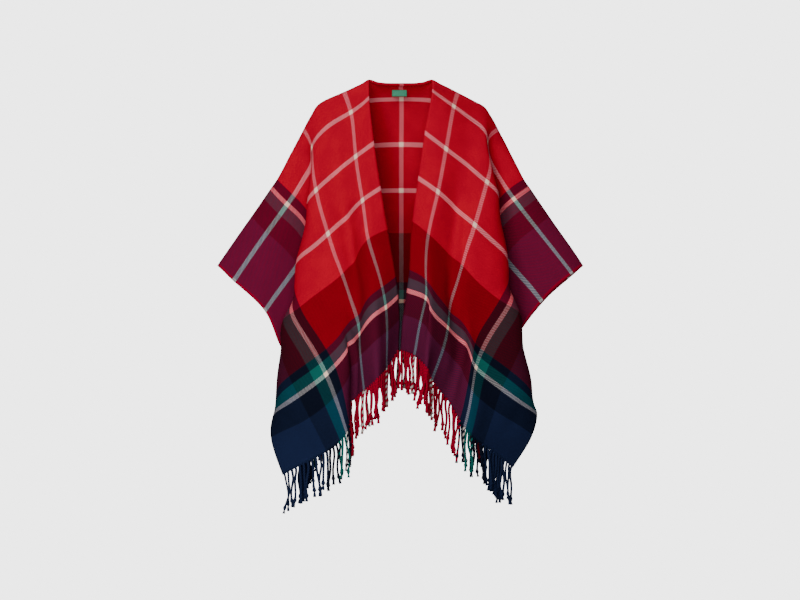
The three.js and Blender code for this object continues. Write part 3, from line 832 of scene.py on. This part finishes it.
def labelMaterial():
    n = Nodes("green_ribbon")
    place = n.map("ribbon")
    ribs = [
        n.math("PINGPONG", n.math("MULTIPLY", distance, count), 0.5)
        for distance, count in zip(n.split(place), label["ribs"])
    ]
    cloud = n.noise(place, label["cloudScale"])
    tone = n.mix(cloud, label["darkGreen"], label["lightGreen"])
    n.finish(tone, label["roughness"], label["gloss"])
    n.bump(n.math("ADD", *ribs), label["bump"], label["bumpHeight"])
    return n.material


def makeLabel():
    bm = bmesh.new()
    spots = flatGrid(bm, *label["cells"])
    steps = np.linspace(0, 1, len(label["loop"]))
    drops, forwards = zip(*label["loop"])
    for vert, (u, v) in spots.items():
        below = np.interp(v, steps, drops)
        free = below / label["fold"]
        swell = label["bulge"] * math.sin(math.pi * u) + label["twist"] * (u - 0.5)
        before = np.interp(v, steps, forwards) + swell * free
        across = label["offCentre"] + (u - 0.5) * label["width"] * (1 + label["flare"] * free)
        seam = onCloth(across, -label["down"], -label["lift"])
        vert.co = (seam - np.array([0, before, below])) / 1000
    setUv(bm, "ribbon", spots)
    piece = makeObject("ribbon_label", bm, labelMaterial())
    thicken(piece, label["wall"])
    return piece


hem = makeNeckHem(plaid)
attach(hem, "root")
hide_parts("neck_hem")
ribbon = makeLabel()
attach(ribbon, "root")
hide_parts("neck_label")
print("hem and label made")

# The fringe: the yarns along the cloth, twisted in two plies and knotted
fringe = {
    "pitch": 12.5,
    "length": 100,
    "uneven": 0.06,
    "unevenTurn": 2.3,  # radians from one strand to the next
    "lengths": (0.95, 1.04),
    "radius": 3.15,
    "radii": (0.88, 1.08),
    "ply": 5.0,  # from a strand's middle to the middle of each ply, in the cut
    "turn": 15.0,  # length of one full twist
    "sides": 6,
    # where its rings lie along it, closer together round the knot
    "rings": [
        0, 0.06, 0.15, 0.26, 0.38, 0.5, 0.62, 0.74, 0.805, 0.83, 0.855, 0.885, 0.93, 0.985, 1,
    ],
    # along the strand, and how thick it is there
    "profile": [
        (0, 1.15), (0.06, 1.1), (0.2, 1.0), (0.78, 0.95), (0.82, 1.4), (0.85, 1.9), (0.88, 1.4),
        (0.91, 0.7), (0.95, 1.2), (0.985, 1.35), (1, 0.0),
    ],
    "knotZone": (0.7, 0.95),
    "knotShift": 0.03,
    "frayZone": (0.96, 0.995),
    "fray": 3.0,
    "inset": 3,  # how far inside the hem it starts
    "lead": 12,  # the stretch of cloth that it leaves in line with
    "steps": 28,
    "turnDown": 14,  # how soon it bends down
    "leans": (0.065, 0.035),  # sideways, and front to back
    "swayTurn": 4,
    "waves": (0.8, 3.6),
    "waveTurn": 7.5,
    "near": 0.03,  # the stretch that gives its direction at a ring
}
yarnLook = {
    "fibreScale": (14, 60, 1),
    "fuzzScale": 2.0,
    "fuzzDetail": 3.0,
    # painted shade: this base and the groove term below darken the strand in the grooves between
    # its plies and overall, and leave each ply's crown lighter
    "shade": 0.5,
    "paintedGrooveShade": 0.55,
    "fuzzShade": 0.3,
    "roughness": 0.95,
    "grooveRise": 2.0,
    "fuzzRise": 0.5,
    "bump": 0.8,
    "bumpHeight": 0.0008,
}


def fringeMaterial():
    n = Nodes("twisted_yarn")
    cutAcross = n.math("MULTIPLY", n.split(n.map("cut"))[0], cutReach)
    across = n.math("SUBTRACT", cutAcross, cut["halfWidth"])
    twist = n.map("twist")
    turned, along = n.split(twist)
    turns = n.math("MULTIPLY", along, fringe["length"] / fringe["turn"])
    phase = n.math("FRACT", n.math("ADD", turned, turns))
    ply = n.math("LESS_THAN", phase, 0.5)
    aside = n.math("MULTIPLY", n.math("SUBTRACT", ply, 0.5), 2 * fringe["ply"])
    fromMiddle = n.math("ABSOLUTE", n.math("ADD", across, aside))
    colour = n.stripes(fromMiddle, alongStripes, cut["halfWidth"])

    groove = n.math("PINGPONG", n.math("MULTIPLY", phase, 2.0), 0.5)
    fibres = n.scaled(twist, yarnLook["fibreScale"])
    fuzz = n.noise(fibres, yarnLook["fuzzScale"], yarnLook["fuzzDetail"])
    # painted shade: darker in the grooves between the two plies and lighter on their crowns; the
    # fuzz is the yarn's own uneven tone
    paintedGrooveShade = n.math("MULTIPLY", groove, yarnLook["paintedGrooveShade"])
    fuzzShade = n.math("MULTIPLY", fuzz, yarnLook["fuzzShade"])
    shade = n.math("ADD", n.math("ADD", paintedGrooveShade, fuzzShade), yarnLook["shade"])
    n.finish(n.dyed(colour, shade), yarnLook["roughness"], weave["gloss"])
    grooveRise = n.math("MULTIPLY", groove, yarnLook["grooveRise"])
    fuzzRise = n.math("MULTIPLY", fuzz, yarnLook["fuzzRise"])
    n.bump(n.math("ADD", grooveRise, fuzzRise), yarnLook["bump"], yarnLook["bumpHeight"])
    return n.material


def strandPath(across, side, index, chance):
    # it leaves along the cloth, bends down, and hangs with a slight wave
    edge = onCloth(across, side * cut["halfLength"], 0)
    inner = onCloth(across, side * (cut["halfLength"] - fringe["lead"]), 0)
    onward = (edge - inner) / np.linalg.norm(edge - inner)
    uneven = 1 + fringe["uneven"] * math.sin(index * fringe["unevenTurn"])
    length = fringe["length"] * uneven * chance.uniform(*fringe["lengths"])
    lean = np.array([*[chance.normal(0, spread) for spread in fringe["leans"]], 0])
    wave, start = chance.uniform(*fringe["waves"]), chance.uniform(0, 6.28)
    places = [edge - fringe["inset"] * onward]
    step = length / fringe["steps"]
    for k in range(fringe["steps"]):
        s = (k + 0.5) / fringe["steps"]
        give = math.exp(-s * fringe["turnDown"])
        hang = np.array([0, 0, -1.0]) + lean * (1 + math.sin(fringe["swayTurn"] * s + start))
        way = onward * give + hang * (1 - give)
        places.append(places[-1] + step * way / np.linalg.norm(way))
    places = np.array(places)
    s = np.linspace(0, 1, len(places))
    # the wave starts below the hem and fades towards the end
    fade = np.clip(s * 4, 0, 1) * np.clip((1.2 - s) * 3, 0, 1)
    aside = wave * np.sin(start + fringe["waveTurn"] * s) * fade
    places[:, 0] += aside * math.cos(start * 3)
    places[:, 1] += aside * math.sin(start * 3)
    return s, places


def strandFrame(t, s, places):
    # the strand's middle at t, its direction, and the two directions across it
    def at(where):
        return np.array([np.interp(where, s, places[:, k]) for k in range(3)])

    ahead, behind = at(min(t + fringe["near"], 1)), at(max(t - fringe["near"], 0))
    along = (ahead - behind) / np.linalg.norm(ahead - behind)
    sideways = np.cross(along, [0, 1, 0])
    sideways /= np.linalg.norm(sideways)
    return at(t), along, sideways, np.cross(sideways, along)


def makeFringe(name, start, end, side, material, seed):
    chance = np.random.default_rng(seed)
    bm = bmesh.new()
    count = int((end - start) // fringe["pitch"])
    ringCells = len(fringe["rings"]) - 1
    stops, widths = zip(*fringe["profile"])
    knotStart, knotEnd = fringe["knotZone"]
    frayStart, frayEnd = fringe["frayZone"]
    cutAt, twistAt = {}, {}
    for index in range(count):
        across = start + (index + 0.5) * (end - start) / count
        s, places = strandPath(across, side, index, chance)
        frames = [strandFrame(t, s, places) for t in fringe["rings"]]
        first = chance.uniform(0, 1)
        thick = fringe["radius"] * chance.uniform(*fringe["radii"])
        knotAt = chance.uniform(-fringe["knotShift"], fringe["knotShift"])
        for vert, (u, v) in flatGrid(bm, fringe["sides"], ringCells).items():
            ring = round(v * ringCells)
            t = fringe["rings"][ring]
            middle, along, sideways, other = frames[ring]
            size = thick * np.interp(t - knotAt * (knotStart < t < knotEnd), stops, widths)
            angle = 2 * math.pi * (u + first)
            offset = sideways * math.cos(angle) + other * math.sin(angle)
            frayed = frayStart < t < frayEnd
            tip = fringe["fray"] * abs(math.sin(angle * 1.5 + first * 9)) if frayed else 0
            vert.co = (middle + offset * size + along * tip) / 1000
            cutAt[vert] = cutUv(across, side * cut["halfLength"])
            twistAt[vert] = (u, t)
    setUv(bm, "cut", cutAt)
    setUv(bm, "twist", twistAt)
    bmesh.ops.remove_doubles(bm, verts=bm.verts, dist=0.00002)
    bmesh.ops.recalc_face_normals(bm, faces=bm.faces)
    return makeObject(name, bm, material)


yarn = fringeMaterial()
hems = [
    ("twisted_fringe_left", "fringe_front_left", -cut["halfWidth"], -cut["frontEdge"], 1, 11),
    ("twisted_fringe_right", "fringe_front_right", cut["frontEdge"], cut["halfWidth"], 1, 23),
    ("twisted_fringe_back", "fringe_back", -cut["halfWidth"], cut["halfWidth"], -1, 37),
]
for name, node, start, end, side, seed in hems:
    piece = makeFringe(name, start, end, side, yarn, seed)
    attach(piece, "root")
    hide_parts(node)

# Stage, lights and camera, in metres
studio = {
    "floor": -1.45,
    "floorRadius": 3.2,
    "grey": 0.8,
    "roughness": 0.95,
    "air": 3.8,  # how bright the background is
    "ambient": 0.1,  # how much light comes from it
}
lamps = {
    "key": {"place": (-1.2, -3.4, 1.3), "aim": (0, 0, -0.5), "size": (1.1, 1.1), "power": 118},
    "fill": {"place": (0.0, -3.9, -0.2), "aim": (0, 0, -0.6), "size": (0.9, 0.9), "power": 72},
    "top": {"place": (-0.3, 0.9, 2.0), "aim": (0, 0, -0.3), "size": (1.4, 1.0), "power": 40},
}
view = {
    "distance": 30.0,
    "width": 2.0,  # what the picture shows at that distance
    "place": (-0.00125, -30.1, -0.5525),
    "sensor": 36,
    "clipEnd": 100,
}


def makeStage():
    bm = bmesh.new()
    bmesh.ops.create_circle(bm, cap_ends=True, segments=96, radius=studio["floorRadius"])
    bmesh.ops.translate(bm, verts=bm.verts, vec=(0, 0, studio["floor"]))
    n = Nodes("studio_paper")
    n.shader.inputs["Base Color"].default_value = (studio["grey"],) * 3 + (1,)
    n.shader.inputs["Roughness"].default_value = studio["roughness"]
    stage = makeObject("studio_floor", bm, n.material)


def addLight(name, place, aim, size, power):
    light = bpy.data.lights.new(name, "AREA")
    light.shape = "RECTANGLE"
    light.size, light.size_y = size
    light.energy = power
    lamp = bpy.data.objects.new(name, light)
    bpy.context.scene.collection.objects.link(lamp)
    way = np.array(aim, float) - np.array(place, float)
    lamp.location = place
    flat = math.hypot(way[0], way[1])
    rise = math.pi / 2 + math.atan2(way[2], flat)
    lamp.rotation_euler = (rise, 0, math.atan2(-way[0], way[1]))


def addAir():
    # the background is bright to the camera and faint as a light
    world = bpy.data.worlds.new("studio_air")
    world.use_nodes = True
    tree = world.node_tree
    air = tree.nodes["Background"]
    air.inputs[0].default_value = (1, 1, 1, 1)
    ray = tree.nodes.new("ShaderNodeLightPath")
    shown = tree.nodes.new("ShaderNodeMapRange")
    shown.inputs["To Min"].default_value = studio["ambient"]
    shown.inputs["To Max"].default_value = studio["air"]
    tree.links.new(ray.outputs["Is Camera Ray"], shown.inputs["Value"])
    tree.links.new(shown.outputs[0], air.inputs[1])
    bpy.context.scene.world = world


def addCamera():
    data = bpy.data.cameras.new("camera")
    data.sensor_width = view["sensor"]
    data.lens = view["sensor"] * view["distance"] / view["width"]
    data.clip_end = view["clipEnd"]
    camera = bpy.data.objects.new("camera", data)
    bpy.context.scene.collection.objects.link(camera)
    camera.location = view["place"]
    camera.rotation_euler = (math.pi / 2, 0, 0)
    bpy.context.scene.camera = camera


makeStage()
for name, lamp in lamps.items():
    addLight(name, **lamp)
addAir()
addCamera()
